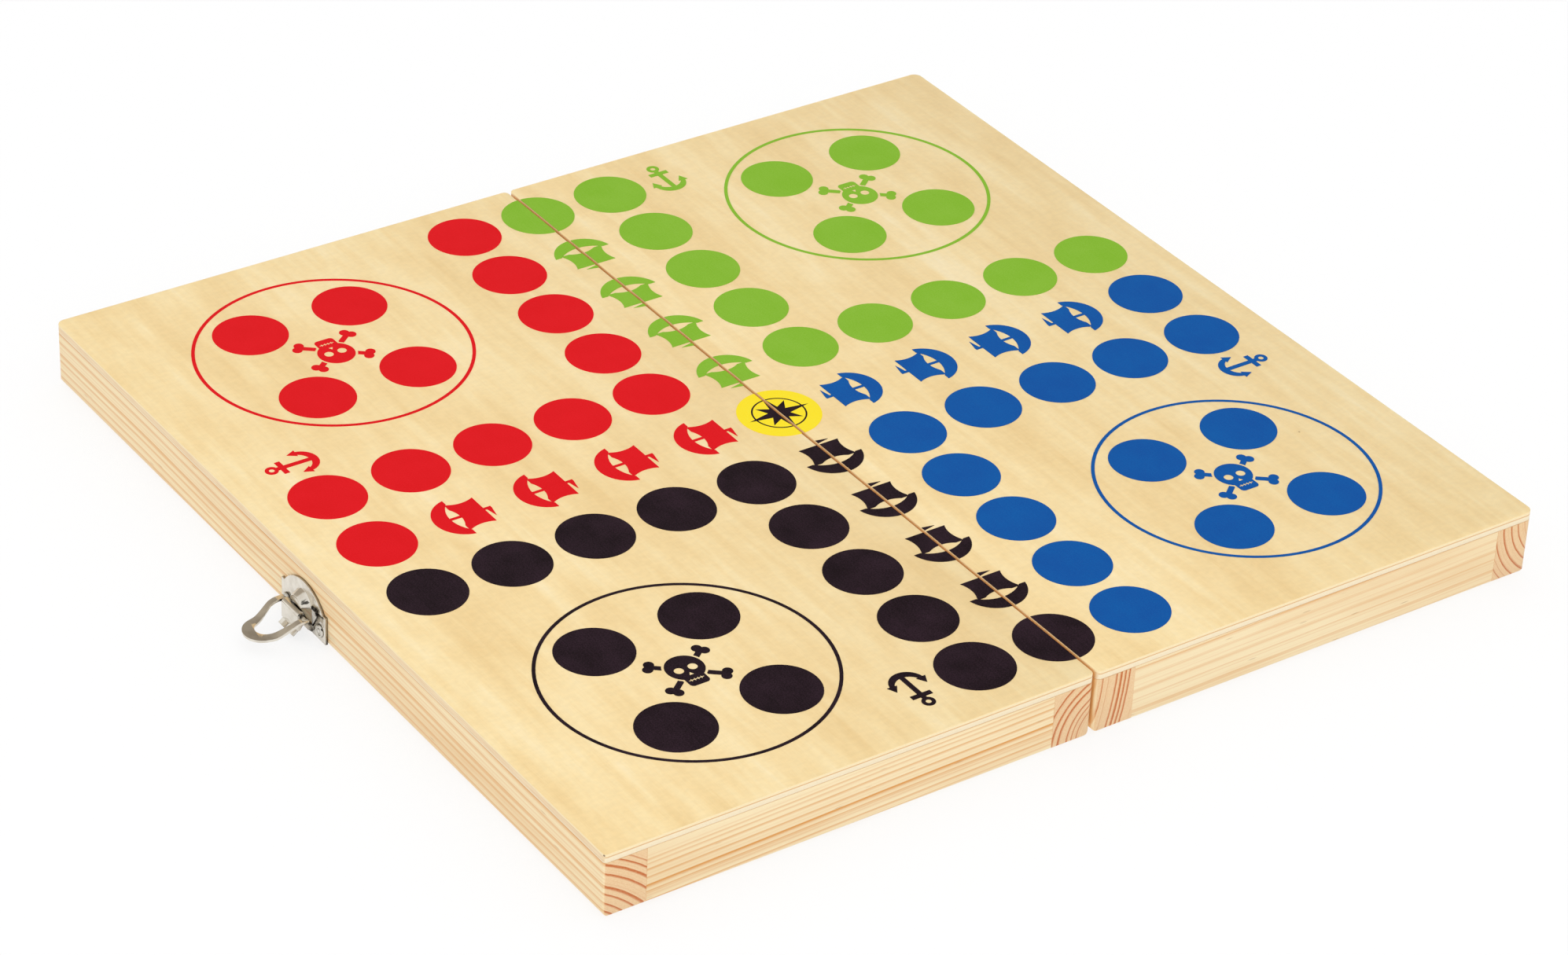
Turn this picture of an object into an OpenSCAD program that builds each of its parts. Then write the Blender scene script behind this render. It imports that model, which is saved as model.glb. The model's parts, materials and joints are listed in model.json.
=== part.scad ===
/* [Board] */
// Width of the open board, across the seam
board_w = 300; // [260:1:400]
// Depth of the board, along the seam
board_d = 291; // [280:1:400]
// Height of one tray, panel and rim together
tray_h = 19; // [18:0.5:30]
// Gap between the two trays when the board lies open
seam_gap = 1; // [0.6:0.1:1.2]
// Thickness of the plywood panel
panel_t = 2.8; // [2:0.1:4]
// Width of the pine battens
batten_w = 12.5; // [12:0.5:18]
// Radius of the trays' upright outer corners
corner_r = 2.5; // [1:0.5:5]
// Radius of the upright corners beside the seam
seam_corner_r = 1.5; // [0.5:0.5:3]
// Radius of the left tray's front corner, which is hardly sanded
sharp_corner_r = 1; // [0.5:0.5:3]
// Radius of the lower edge of the outer battens
edge_r = 1.4; // [0.6:0.2:3]

/* [Print] */
// Thickness of the printed ink
ink_t = 0.1; // [0.05:0.05:0.2]
// Diameter of a printed track spot
spot_d = 21.7; // [16:0.1:22]
// Distance between spots across the seam
pitch_x = 25.9; // [22:0.1:26]
// Distance between spots along the seam
pitch_y = 25.3; // [22:0.1:26]
// Distance of the innermost spots from the centre, across the seam
first_x = 25.25; // [24:0.05:27]
// Distance of the innermost spots from the centre, along the seam
first_y = 26.4; // [24:0.05:27]
// Radius of the ring round each home
ring_r = 40; // [36:0.5:40]
// Width of the ring's line
ring_line = 1; // [0.6:0.1:2]
// Diameter of the spot in the middle of the board
centre_d = 24; // [20:0.5:28]
// Distance of the print from the middle of the board, towards the back
print_y = 0.7; // [-1.5:0.1:1.5]

/* [Hinges] */
// Distance of each hinge from the middle of the board
hinge_y = 95; // [60:1:120]
// Length of one hinge
hinge_len = 20; // [16:1:30]
// Width of a hinge leaf, from the hinge line to its edge
leaf_w = 9.5; // [8.5:0.5:11]
// Thickness of a hinge leaf
leaf_t = 0.8; // [0.6:0.1:1]
// Outer radius of the hinge knuckles
knuckle_r = 1.15; // [1.1:0.05:1.4]
// Radius of the hinge pin
hinge_pin_r = 0.5; // [0.4:0.05:0.6]
// Space left between the rims when the box is closed
closed_gap = 0.3; // [0.2:0.1:0.6]

/* [Latch] */
// Width of the latch plate
plate_w = 23.4; // [22:0.2:28]
// Height of the latch plate at the top of its arch
plate_h = 14; // [13.6:0.2:15.4]
// Height of the latch plate's shoulders
shoulder_h = 8.8; // [7.2:0.2:9.4]
// Thickness of the latch's pressed steel
sheet_t = 0.8; // [0.6:0.1:0.9]
// Distance of the latch and the catch from the middle of the side, towards the back
latch_y = 1.8; // [-5:0.1:5]
// Length of the loop, from its pivot to its tip
loop_len = 15; // [14.8:0.1:15.2]
// Step down in the loop, between its legs and its tip
loop_step = 3.4; // [3.2:0.1:3.6]

/* [Hidden] */
$fn = 20;

// Colours
PLY = "#F3DBA8";
PINE = "#F6E3B8";
RED = "#E00F1A";
BLACK = "#2A2026";
BLUE = "#005BA8";
GREEN = "#7DB82B";
YELLOW = "#FFE600";
NICKEL = "#C9C4BA";
STEEL = "#9FA0A2";

// Sides of the board: left carries the latch, right carries the catch
LEFT = -1;
RIGHT = 1;
FRONT = -1;
BACK = 1;

// Slack for cuts that run past a face
over = 1;

// Tray sizes
half_w = board_w / 2;
half_d = board_d / 2;
spine_x = seam_gap / 2;
tray_w = half_w - spine_x;
batten_h = tray_h - panel_t;

// Heights: the hinge knuckles are the lowest points of the open board
axis_z = knuckle_r;
rim_z = axis_z + closed_gap / 2;
panel_z = rim_z + batten_h;
top_z = rim_z + tray_h;

// The spine edges are eased, more on the left tray than on the right one
spine_edge_left = 2.2;
spine_edge_right = 1;

// Hinges
knuckle_gap = 0.2;
knuckle_len = (hinge_len - 2 * knuckle_gap) / 3;
knuckle_groove_r = knuckle_r + 0.3;
running_gap = 0.05;
pin_head_r = 0.9;
pin_head_t = 0.4;
leaf_relief = 0.25;
leaf_corner_r = 1;
screw_x = leaf_w - 3.2;
screw_y = 6.2;
screw_r = 0.9;
screw_head_r = 1.6;
screw_head_t = 0.65;
screw_len = 6;
screw_slot_w = 0.4;
screw_slot_depth = 0.25;

// Latch, seen from the side: u runs outwards from the wood, v runs up from the rim
plate_foot = 0.3;
arch_half = plate_w / 2 - 1.5;
arch_rise = plate_h - shoulder_h;
arch_r = (arch_half * arch_half + arch_rise * arch_rise) / (2 * arch_rise);
nail_w = 8.8;
nail_v = 3.4;
nail_r = 0.65;
nail_head_r = 1.9;
nail_head_t = 0.5;
nail_len = 8;
pivot_u = 3.2;
pivot_v = 4.6;
pivot_r = 0.45;
eye_r = 0.95;
arm = 1.6;
arm_angle = 75;
loop_pivot_u = pivot_u + arm * cos(arm_angle);
loop_pivot_v = pivot_v + arm * sin(arm_angle);
flange_in = 3.6;
flange_out = 4.3;
flange_foot = 1.9;
ear_in = 4.5;
ear_out = 5.2;
ear_foot = 1.2;
lever_pin_end = 5.35;
rivet_r = 0.7;
boss_r = 1.1;
web_u = 4.2;
web_top = 6.4;
tab_half = 3.7;
window_half = ear_in;
window_foot = 1.9;
window_top = 7.4;
hood_v = 7.1;
hood_foot = 7.8;
hood_r = 4.8;
hood_front_r = 3;
hood_u = 3.2;
leg_in = 5.4;
leg_out = 7.2;
loop_t = 0.7;
loop_straight = 4;
loop_tip_r = 5.6;
loop_tip_hole_r = 3;
loop_tip_bar = 3.4;
loop_heel = 0.6;
step_from = 1.5;
step_to = 9.5;
trunnion_r = 0.45;
trunnion_in = 3.5;

// Side view of the loop's middle line: level legs, a smooth step down, and a level tip
function eased(t) = t * t * (3 - 2 * t);
LOOP_LINE = [
    [-2, 0],
    for (t = [0:0.125:1]) [step_from + t * (step_to - step_from), -loop_step * eased(t)],
    [loop_len + 1, -loop_step]
];

// Catch
catch_w = 17;
catch_h = 9.6;
hook_half = 1.6;
hook_v = 4.1;
lip_u = 3.9;
lip_v = 7.4;
catch_nail_w = 5.6;
catch_nail_v = 6.6;

// The origin is under the middle of the whole part, so the seam lies a little to its right
loop_reach = loop_pivot_u + loop_len;
catch_reach = lip_u + sheet_t;
seam_x = (loop_reach - catch_reach) / 2;

// Homes
home_x = 90;
home_y = 91.2;
home_spot_x = 16.1;
home_spot_y = 19.3;
anchor_step = 1.75;

// Place of a step on the track, where steps count from the middle of the board
function step_x(k) = k == 0 ? 0 : sign(k) * (first_x + (abs(k) - 1) * pitch_x);
function step_y(k) = k == 0 ? 0 : sign(k) * (first_y + (abs(k) - 1) * pitch_y);

// A step turned by quarter turns about the middle: red, black, blue and green follow each other
function turned(s, n) = n == 0 ? s : turned([-s[1], s[0]], n - 1);
function place(s, n) = let (t = turned(s, n)) [step_x(t[0]), step_y(t[1])];

// The ten track steps of one colour, before they are turned
TRACK = [[-5, 0], [-5, 1], [-4, 1], [-3, 1], [-2, 1], [-1, 1], [-1, 2], [-1, 3], [-1, 4], [-1, 5]];

// Point where a line from q touches a circle about c, on the side away from the axis
function touch(q, c, r) =
    let (d = norm(q - c), a = atan2(q[1] - c[1], q[0] - c[0]) - acos(r / d))
    c + r * [cos(a), sin(a)];

// Point i of a line, moved to one side by t with mitred corners
function along(line, i) = let (d = line[i + 1] - line[i]) d / norm(d);
function across_line(d) = [-d[1], d[0]];
function beside(line, i, t) =
    let (
        a = across_line(along(line, max(i - 1, 0))),
        b = across_line(along(line, min(i, len(line) - 2)))
    )
    line[i] + t * (a + b) / (1 + a * b);

// Frames

module on_seam() {
    translate([seam_x, 0, 0]) children();
}

// The local frame of the latch: x outwards, y along the board, z up from the rim
module on_latch_side() {
    translate([seam_x - half_w, latch_y, rim_z]) mirror([1, 0, 0]) children();
}

module on_catch_side() {
    translate([seam_x + half_w, latch_y, rim_z]) children();
}

// A side view extruded along the board from y0 to y1
module across(y0, y1) {
    translate([0, y1, 0]) rotate([90, 0, 0]) linear_extrude(y1 - y0) children();
}

// The same on both ends of the latch
module both_ends(y0, y1) {
    across(y0, y1) children();
    across(-y1, -y0) children();
}

// A front view extruded outwards from the wood
module outwards(t) {
    rotate([90, 0, 90]) linear_extrude(t) children();
}

module rod(u, v, r, y0, y1) {
    translate([u, y0, v]) rotate([-90, 0, 0]) cylinder(r = r, h = y1 - y0);
}

module rounded_rect(w, d, r) {
    square([w - 2 * r, d], center = true);
    square([w, d - 2 * r], center = true);
    for (x = [-1, 1], y = [-1, 1])
        translate([x * (w / 2 - r), y * (d / 2 - r)]) circle(r);
}

// Trays

// What a rounded corner takes off the square corner of a tray
module corner_waste(side, at_spine, end, r) {
    edge_x = at_spine ? side * spine_x : side * half_w;
    inwards = at_spine ? side : -side;
    c = [edge_x + inwards * r, end * (half_d - r)];
    difference() {
        translate([c[0] - inwards * (r + over) / 2, c[1] + end * (r + over) / 2])
            square(r + over, center = true);
        translate(c) circle(r);
    }
}

module tray_outline(side) {
    front_r = side == LEFT ? sharp_corner_r : corner_r;
    difference() {
        translate([side * (spine_x + tray_w / 2), 0]) square([tray_w, board_d], center = true);
        corner_waste(side, false, FRONT, front_r);
        corner_waste(side, false, BACK, corner_r);
        corner_waste(side, true, FRONT, seam_corner_r);
        corner_waste(side, true, BACK, seam_corner_r);
    }
}

module tray_block(side) {
    translate([0, 0, rim_z]) linear_extrude(tray_h) tray_outline(side);
}

// Section of a side batten: x from its own edge inwards, with a rounded lower edge
module batten_section(r) {
    translate([0, r]) square([batten_w, batten_h - r]);
    translate([r, 0]) square([batten_w - r, batten_h]);
    translate([r, r]) circle(r);
}

// A side batten runs the full depth, so its end grain shows at the front and the back
module side_batten(side, at_spine, r) {
    edge_x = at_spine ? side * spine_x : side * half_w;
    inwards = at_spine ? side : -side;
    intersection() {
        translate([edge_x, 0, rim_z]) mirror([inwards < 0 ? 1 : 0, 0, 0])
            across(-half_d, half_d) batten_section(r);
        tray_block(side);
    }
}

// An end batten butts between the two side battens
module end_batten(side, end) {
    length = tray_w - 2 * batten_w;
    middle_x = side * (spine_x + tray_w / 2);
    middle_y = end * (half_d - batten_w / 2);
    on_seam() translate([middle_x - length / 2, middle_y - batten_w / 2, rim_z])
        cube([length, batten_w, batten_h]);
}

module panel(side) {
    on_seam() translate([0, 0, panel_z]) linear_extrude(panel_t) tray_outline(side);
}

// Hinges

module hinge_grooves() {
    groove_half = hinge_len / 2 + over;
    for (end = [FRONT, BACK]) translate([0, end * hinge_y, 0])
        rod(0, axis_z, knuckle_groove_r, -groove_half, groove_half);
}

module leaf_plan(side) {
    inner = knuckle_r + leaf_relief;
    w = leaf_w - inner;
    translate([side * (inner + w / 2), 0]) rounded_rect(w, hinge_len, leaf_corner_r);
    translate([side * (inner + leaf_corner_r) - leaf_corner_r, -hinge_len / 2])
        square([2 * leaf_corner_r, hinge_len]);
}

// Seats for the leaves in the rim, with pilot holes for the screws
module hinge_seats(side) {
    for (end = [FRONT, BACK]) translate([0, end * hinge_y, rim_z]) {
        linear_extrude(leaf_t) {
            leaf_plan(side);
            translate([side > 0 ? 0 : -knuckle_r - leaf_relief - over, -hinge_len / 2])
                square([knuckle_r + leaf_relief + over, hinge_len]);
        }
        for (y = [-1, 1])
            translate([side * screw_x, y * screw_y, 0]) cylinder(r = screw_r, h = screw_len);
    }
}

module spine_batten(side) {
    r = side > 0 ? spine_edge_right : spine_edge_left;
    on_seam() difference() {
        side_batten(side, true, r);
        hinge_grooves();
        hinge_seats(side);
    }
}

// Lengths of the knuckles along the hinge: the left leaf has the outer two, the right leaf the middle one
function knuckles(side) = side > 0
    ? [[-knuckle_len / 2, knuckle_len / 2]]
    : [[-hinge_len / 2, -hinge_len / 2 + knuckle_len], [hinge_len / 2 - knuckle_len, hinge_len / 2]];

module hinge_leaf(side, end) {
    bore = side > 0 ? hinge_pin_r + running_gap : hinge_pin_r;
    tongue = knuckle_r + leaf_relief + 2 * leaf_corner_r;
    on_seam() translate([0, end * hinge_y, 0]) difference() {
        union() {
            translate([0, 0, rim_z]) linear_extrude(leaf_t) leaf_plan(side);
            for (k = knuckles(side)) {
                rod(0, axis_z, knuckle_r, k[0], k[1]);
                translate([side > 0 ? 0 : -tongue, k[0], rim_z]) cube([tongue, k[1] - k[0], leaf_t]);
            }
        }
        rod(0, axis_z, bore, -hinge_len, hinge_len);
        for (y = [-1, 1]) translate([side * screw_x, y * screw_y, rim_z]) {
            cylinder(r1 = screw_head_r, r2 = screw_r, h = screw_head_t);
            cylinder(r = screw_r, h = leaf_t + over);
        }
    }
}

module hinge_pin(end) {
    on_seam() translate([0, end * hinge_y, 0]) {
        rod(0, axis_z, hinge_pin_r, -hinge_len / 2, hinge_len / 2);
        rod(0, axis_z, pin_head_r, hinge_len / 2, hinge_len / 2 + pin_head_t);
        rod(0, axis_z, pin_head_r, -hinge_len / 2 - pin_head_t, -hinge_len / 2);
    }
}

module hinge_screws(side) {
    on_seam() for (end = [FRONT, BACK], y = [-1, 1])
        translate([side * screw_x, end * hinge_y + y * screw_y, rim_z]) difference() {
            union() {
                cylinder(r1 = screw_head_r, r2 = screw_r, h = screw_head_t);
                cylinder(r = screw_r, h = screw_len - screw_r);
                translate([0, 0, screw_len - screw_r]) cylinder(r1 = screw_r, r2 = 0.1, h = screw_r);
            }
            translate([-screw_head_r, -screw_slot_w / 2, -over])
                cube([2 * screw_head_r, screw_slot_w, over + screw_slot_depth]);
        }
}

// Battens that carry the latch and the catch, with pilot holes for the nails

module nail_shanks(w, v) {
    for (y = [-w, w])
        translate([-nail_len, y, v]) rotate([0, 90, 0]) cylinder(r = nail_r, h = nail_len + sheet_t);
}

module left_batten_outer() {
    color(PINE) difference() {
        on_seam() side_batten(LEFT, false, edge_r);
        on_latch_side() nail_shanks(nail_w, nail_v);
    }
}

module right_batten_outer() {
    color(PINE) difference() {
        on_seam() side_batten(RIGHT, false, edge_r);
        on_catch_side() nail_shanks(catch_nail_w, catch_nail_v);
    }
}

// Latch

module nails(w, v) {
    nail_shanks(w, v);
    for (y = [-w, w]) translate([sheet_t, y, v]) rotate([0, 90, 0]) {
        difference() {
            cylinder(r1 = nail_head_r, r2 = nail_head_r - 0.2, h = nail_head_t);
            translate([0, 0, nail_head_t / 2])
                cylinder(r1 = nail_head_r * 0.62, r2 = nail_head_r * 0.75, h = nail_head_t);
        }
        cylinder(r1 = nail_head_r * 0.45, r2 = nail_head_r * 0.3, h = nail_head_t);
    }
}

module plate_outline() {
    translate([-plate_w / 2, plate_foot]) square([plate_w, shoulder_h - plate_foot]);
    intersection() {
        translate([0, plate_h - arch_r]) circle(arch_r, $fn = 48);
        translate([-arch_half, shoulder_h - over]) square([2 * arch_half, arch_rise + 2 * over]);
    }
}

// An ear stands on the plate and holds the lever pin clear of the loop's path
module ear_side() {
    polygon([
        [sheet_t / 2, ear_foot], [sheet_t / 2, window_foot], [sheet_t, window_foot + 0.8],
        [pivot_u - eye_r, pivot_v], [pivot_u + eye_r, pivot_v], [2.4, ear_foot + 0.9], [1.4, ear_foot]
    ]);
    translate([pivot_u, pivot_v]) circle(eye_r);
}

// Half cone that covers the top of the lever
module hood_cone(shrink) {
    translate([0, 0, hood_v]) rotate([0, 90, 0])
        cylinder(r1 = hood_r - shrink, r2 = hood_front_r - shrink, h = hood_u - shrink);
}

module hood() {
    difference() {
        hood_cone(0);
        hood_cone(sheet_t);
        translate([-over, -hood_r, 0]) cube([hood_u + 2 * over, 2 * hood_r, hood_foot]);
    }
}

module latch_plate() {
    color(NICKEL) on_latch_side() difference() {
        union() {
            difference() {
                outwards(sheet_t) plate_outline();
                hood_cone(sheet_t);
                translate([-over, -window_half, window_foot])
                    cube([4 * over, 2 * window_half, window_top - window_foot]);
            }
            hood();
            both_ends(ear_in, ear_out) ear_side();
        }
        rod(pivot_u, pivot_v, pivot_r, -ear_out - over, ear_out + over);
        nail_shanks(nail_w, nail_v);
    }
}

module latch_nails() {
    color(STEEL) on_latch_side() nails(nail_w, nail_v);
}

module lever_pin() {
    color(STEEL) on_latch_side() {
        rod(pivot_u, pivot_v, pivot_r, -lever_pin_end, lever_pin_end);
        rod(pivot_u, pivot_v, rivet_r, ear_out, lever_pin_end);
        rod(pivot_u, pivot_v, rivet_r, -lever_pin_end, -ear_out);
    }
}

// Side view of one flange of the lever
module flange_side() {
    translate([pivot_u, pivot_v]) circle(boss_r);
    translate([loop_pivot_u, loop_pivot_v]) circle(boss_r - 0.1);
    polygon([
        [pivot_u - boss_r, pivot_v], [loop_pivot_u - boss_r + 0.1, loop_pivot_v],
        [web_u - 0.2, web_top + 0.9], [web_u + sheet_t, web_top],
        [web_u + sheet_t, flange_foot + 0.2], [web_u, flange_foot], [pivot_u, pivot_v - boss_r]
    ]);
}

// Side view of the web that joins the flanges: round over the top and down to the foot of the flanges
module web_side() {
    bend_r = 1;
    difference() {
        union() {
            translate([web_u, flange_foot]) square([sheet_t, web_top - flange_foot]);
            intersection() {
                translate([web_u + sheet_t - bend_r, web_top]) circle(bend_r);
                translate([web_u - 2 * bend_r, web_top]) square(4 * bend_r);
            }
            translate([web_u - 1.2, web_top + bend_r - sheet_t]) square([1.2 + sheet_t - bend_r, sheet_t]);
        }
        translate([web_u + sheet_t - bend_r, web_top]) circle(bend_r - sheet_t);
    }
}

// Side view of the thumb tab, which turns outwards at its foot
module tab_side() {
    polygon([
        [web_u, 2.6], [web_u + sheet_t, 2.6], [web_u + sheet_t, 1.9], [web_u + 2.2, 0.8],
        [web_u + 1.7, 0.2], [web_u + 0.2, 1.4], [web_u, 1.9]
    ]);
}

module latch_lever() {
    color(NICKEL) on_latch_side() difference() {
        union() {
            both_ends(flange_in, flange_out) flange_side();
            across(-flange_out, flange_out) web_side();
            across(-tab_half, tab_half) tab_side();
        }
        rod(pivot_u, pivot_v, pivot_r + running_gap, -flange_out - over, flange_out + over);
        rod(loop_pivot_u, loop_pivot_v, trunnion_r + running_gap, -flange_out - over, flange_out + over);
    }
}

// Plan of the loop or of its hole: straight legs that run in to a round tip
module loop_plan(heel, half, tip_x, tip_r) {
    q = [loop_straight, half];
    c = [tip_x, 0];
    t = touch(q, c, tip_r);
    polygon([[-heel, -half], [q[0], -half], [t[0], -t[1]], [t[0], t[1]], q, [-heel, half]]);
    translate(c) circle(tip_r);
}

module loop_side() {
    last = len(LOOP_LINE) - 1;
    polygon([
        for (i = [0:last]) beside(LOOP_LINE, i, loop_t / 2),
        for (i = [last:-1:0]) beside(LOOP_LINE, i, -loop_t / 2)
    ]);
}

module latch_loop() {
    color(NICKEL) on_latch_side() translate([loop_pivot_u, 0, loop_pivot_v]) {
        intersection() {
            across(-leg_out, leg_out) loop_side();
            translate([0, 0, -plate_w / 2]) linear_extrude(plate_w) difference() {
                loop_plan(loop_heel, leg_out, loop_len - loop_tip_r, loop_tip_r);
                loop_plan(
                    loop_heel + over, leg_in,
                    loop_len - loop_tip_bar - loop_tip_hole_r, loop_tip_hole_r
                );
            }
        }
        rod(0, 0, trunnion_r, trunnion_in, leg_in + over);
        rod(0, 0, trunnion_r, -leg_in - over, -trunnion_in);
    }
}

// Catch

module catch_outline() {
    rise = 2.6;
    half = catch_w / 2 - 0.8;
    r = (half * half + rise * rise) / (2 * rise);
    translate([-catch_w / 2, plate_foot]) square([catch_w, catch_h - rise - plate_foot]);
    intersection() {
        translate([0, catch_h - r]) circle(r, $fn = 48);
        translate([-half, catch_h - rise - over]) square([2 * half, rise + 2 * over]);
    }
}

// Side view of the hook: it stands out from the plate and turns up to hold the loop
module hook_side() {
    bend_r = sheet_t;
    translate([sheet_t / 2, hook_v]) square([lip_u + sheet_t / 2 - bend_r, sheet_t]);
    translate([lip_u, hook_v + bend_r]) square([sheet_t, lip_v - hook_v - bend_r - sheet_t / 2]);
    intersection() {
        translate([lip_u + sheet_t - bend_r, hook_v + bend_r]) circle(bend_r);
        translate([lip_u + sheet_t - bend_r, hook_v]) square(bend_r);
    }
    translate([lip_u + sheet_t / 2, lip_v - sheet_t / 2]) circle(sheet_t / 2);
}

module catch_plate() {
    color(NICKEL) on_catch_side() difference() {
        union() {
            outwards(sheet_t) catch_outline();
            across(-hook_half, hook_half) hook_side();
        }
        nail_shanks(catch_nail_w, catch_nail_v);
    }
}

module catch_nails() {
    color(STEEL) on_catch_side() nails(catch_nail_w, catch_nail_v);
}

// Print

// A small square-rigged ship, bow and stern curling up from a round hull
module ship() {
    intersection() {
        difference() {
            translate([0, 1.2]) circle(9.2);
            translate([0, 7.2]) circle(10.5);
        }
        translate([-10, -10]) square([20, 9.4]);
    }
    translate([-0.5, -4]) square([1, 13.4]);
    difference() {
        translate([-6.6, -1.2]) square([13.2, 8.4]);
        translate([0, -8.4]) circle(8.4);
        for (x = [-1, 1]) translate([x * 14.2, 3.4]) circle(8.6);
    }
    polygon([[0.3, 9.4], [0.3, 7.8], [4.2, 8.6]]);
}

// A skull over crossed bones
module skull_shape(grow) {
    translate([0, 1.4]) circle(5.4 + grow);
    translate([0, -4.2]) rounded_rect(6 + 2 * grow, 5 + 2 * grow, 1.2);
}

module bone(turn) {
    rotate(turn) {
        square([19.5, 1.7], center = true);
        for (x = [-1, 1], y = [-1, 1]) translate([x * 10.2, y * 1.1]) circle(1.45);
    }
}

module skull() {
    difference() {
        union() {
            bone(38);
            bone(-38);
        }
        skull_shape(0.7);
    }
    difference() {
        skull_shape(0);
        for (x = [-1, 1]) translate([x * 2.1, 0.9]) circle(1.35);
        polygon([[-0.75, -2.1], [0.75, -2.1], [0, -0.8]]);
        translate([-2.3, -4.4]) square([4.6, 0.4]);
        for (x = [-1.5, -0.5, 0.5, 1.5]) translate([x - 0.15, -4.8]) square([0.3, 1.2]);
    }
}

module anchor() {
    difference() {
        translate([0, 6.6]) circle(1.9);
        translate([0, 6.6]) circle(0.8);
    }
    translate([-0.75, -7]) square([1.5, 12.4]);
    translate([-3.1, 2.6]) square([6.2, 1.6]);
    intersection() {
        difference() {
            translate([0, -2.4]) circle(5.2);
            translate([0, -1.2]) circle(4.2);
        }
        translate([-6, -8]) square([12, 5.2]);
    }
    for (x = [-1, 1])
        polygon([[x * 6, -3.4], [x * 3, -3.2], [x * 4.7, -0.6]]);
}

// An eight-pointed compass star
module star() {
    reach = 0.41 * centre_d;
    waist = 0.065 * centre_d;
    for (turn = [0, 90, 180, 270]) rotate(turn) {
        polygon([[0, reach], [waist, waist], [0, 0], [-waist, waist]]);
        rotate(45) polygon([[0, 0.7 * reach], [waist, waist], [-waist, waist]]);
    }
    difference() {
        circle(0.8 * reach);
        circle(0.8 * reach - 0.5);
    }
}

// Everything printed in one colour: the track, the home, the ships and the anchor
module colour_print(n) {
    for (s = TRACK) translate(place(s, n)) circle(d = spot_d, $fn = 28);
    for (k = [-4:-1]) translate(place([k, 0], n)) rotate(-90 + 90 * n) ship();
    translate(place([-5, anchor_step], n)) rotate(90 + 90 * n) anchor();
    corner = turned([-1, 1], n);
    translate([corner[0] * home_x, corner[1] * home_y]) {
        for (x = [-1, 1], y = [-1, 1])
            translate([x * home_spot_x, y * home_spot_y]) circle(d = spot_d, $fn = 28);
        difference() {
            circle(ring_r, $fn = 60);
            circle(ring_r - ring_line, $fn = 60);
        }
        rotate(corner[1] > 0 ? 180 : 0) skull();
    }
}

module ink(side) {
    on_seam() translate([0, print_y, top_z]) linear_extrude(ink_t) intersection() {
        translate([side > 0 ? spine_x : -half_w, -half_d]) square([tray_w, board_d]);
        children();
    }
}

module centre_spot() {
    difference() {
        circle(d = centre_d, $fn = 28);
        star();
    }
}

// The black print also has the star in the middle
module black_print() {
    colour_print(1);
    star();
}

// Nodes: one coloured module for each piece

module left_panel() {
    color(PLY) panel(LEFT);
}

module left_batten_spine() {
    color(PINE) spine_batten(LEFT);
}

module left_batten_front() {
    color(PINE) end_batten(LEFT, FRONT);
}

module left_batten_back() {
    color(PINE) end_batten(LEFT, BACK);
}

module right_panel() {
    color(PLY) panel(RIGHT);
}

module right_batten_spine() {
    color(PINE) spine_batten(RIGHT);
}

module right_batten_front() {
    color(PINE) end_batten(RIGHT, FRONT);
}

module right_batten_back() {
    color(PINE) end_batten(RIGHT, BACK);
}

module left_print_red() {
    color(RED) ink(LEFT) colour_print(0);
}

module left_print_black() {
    color(BLACK) ink(LEFT) black_print();
}

module left_print_green() {
    color(GREEN) ink(LEFT) colour_print(3);
}

module left_print_yellow() {
    color(YELLOW) ink(LEFT) centre_spot();
}

module right_print_blue() {
    color(BLUE) ink(RIGHT) colour_print(2);
}

module right_print_green() {
    color(GREEN) ink(RIGHT) colour_print(3);
}

module right_print_black() {
    color(BLACK) ink(RIGHT) black_print();
}

module right_print_yellow() {
    color(YELLOW) ink(RIGHT) centre_spot();
}

module hinge_leaf_left_front() {
    color(STEEL) hinge_leaf(LEFT, FRONT);
}

module hinge_leaf_left_back() {
    color(STEEL) hinge_leaf(LEFT, BACK);
}

module hinge_leaf_right_front() {
    color(STEEL) hinge_leaf(RIGHT, FRONT);
}

module hinge_leaf_right_back() {
    color(STEEL) hinge_leaf(RIGHT, BACK);
}

module hinge_pin_front() {
    color(STEEL) hinge_pin(FRONT);
}

module hinge_pin_back() {
    color(STEEL) hinge_pin(BACK);
}

module hinge_screws_left() {
    color(STEEL) hinge_screws(LEFT);
}

module hinge_screws_right() {
    color(STEEL) hinge_screws(RIGHT);
}

left_panel();
left_batten_outer();
left_batten_spine();
left_batten_front();
left_batten_back();
right_panel();
right_batten_outer();
right_batten_spine();
right_batten_front();
right_batten_back();
left_print_red();
left_print_black();
left_print_green();
left_print_yellow();
right_print_blue();
right_print_green();
right_print_black();
right_print_yellow();
hinge_leaf_left_front();
hinge_leaf_left_back();
hinge_leaf_right_front();
hinge_leaf_right_back();
hinge_pin_front();
hinge_pin_back();
hinge_screws_left();
hinge_screws_right();
latch_plate();
latch_nails();
lever_pin();
latch_lever();
latch_loop();
catch_plate();
catch_nails();
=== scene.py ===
"""Folding ludo board box, lying open: printed plywood faces, pine battens, nickel toggle latch.

Every length below is in metres unless its name or its comment says millimetres. The board's own frame has +X from
the latch side to the catch side, +Y from the front to the back along the seam, and +Z up out of the printed face.
"""
import json
import math

import bmesh
import bpy
import numpy as np
from mathutils import Matrix, Vector

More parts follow.
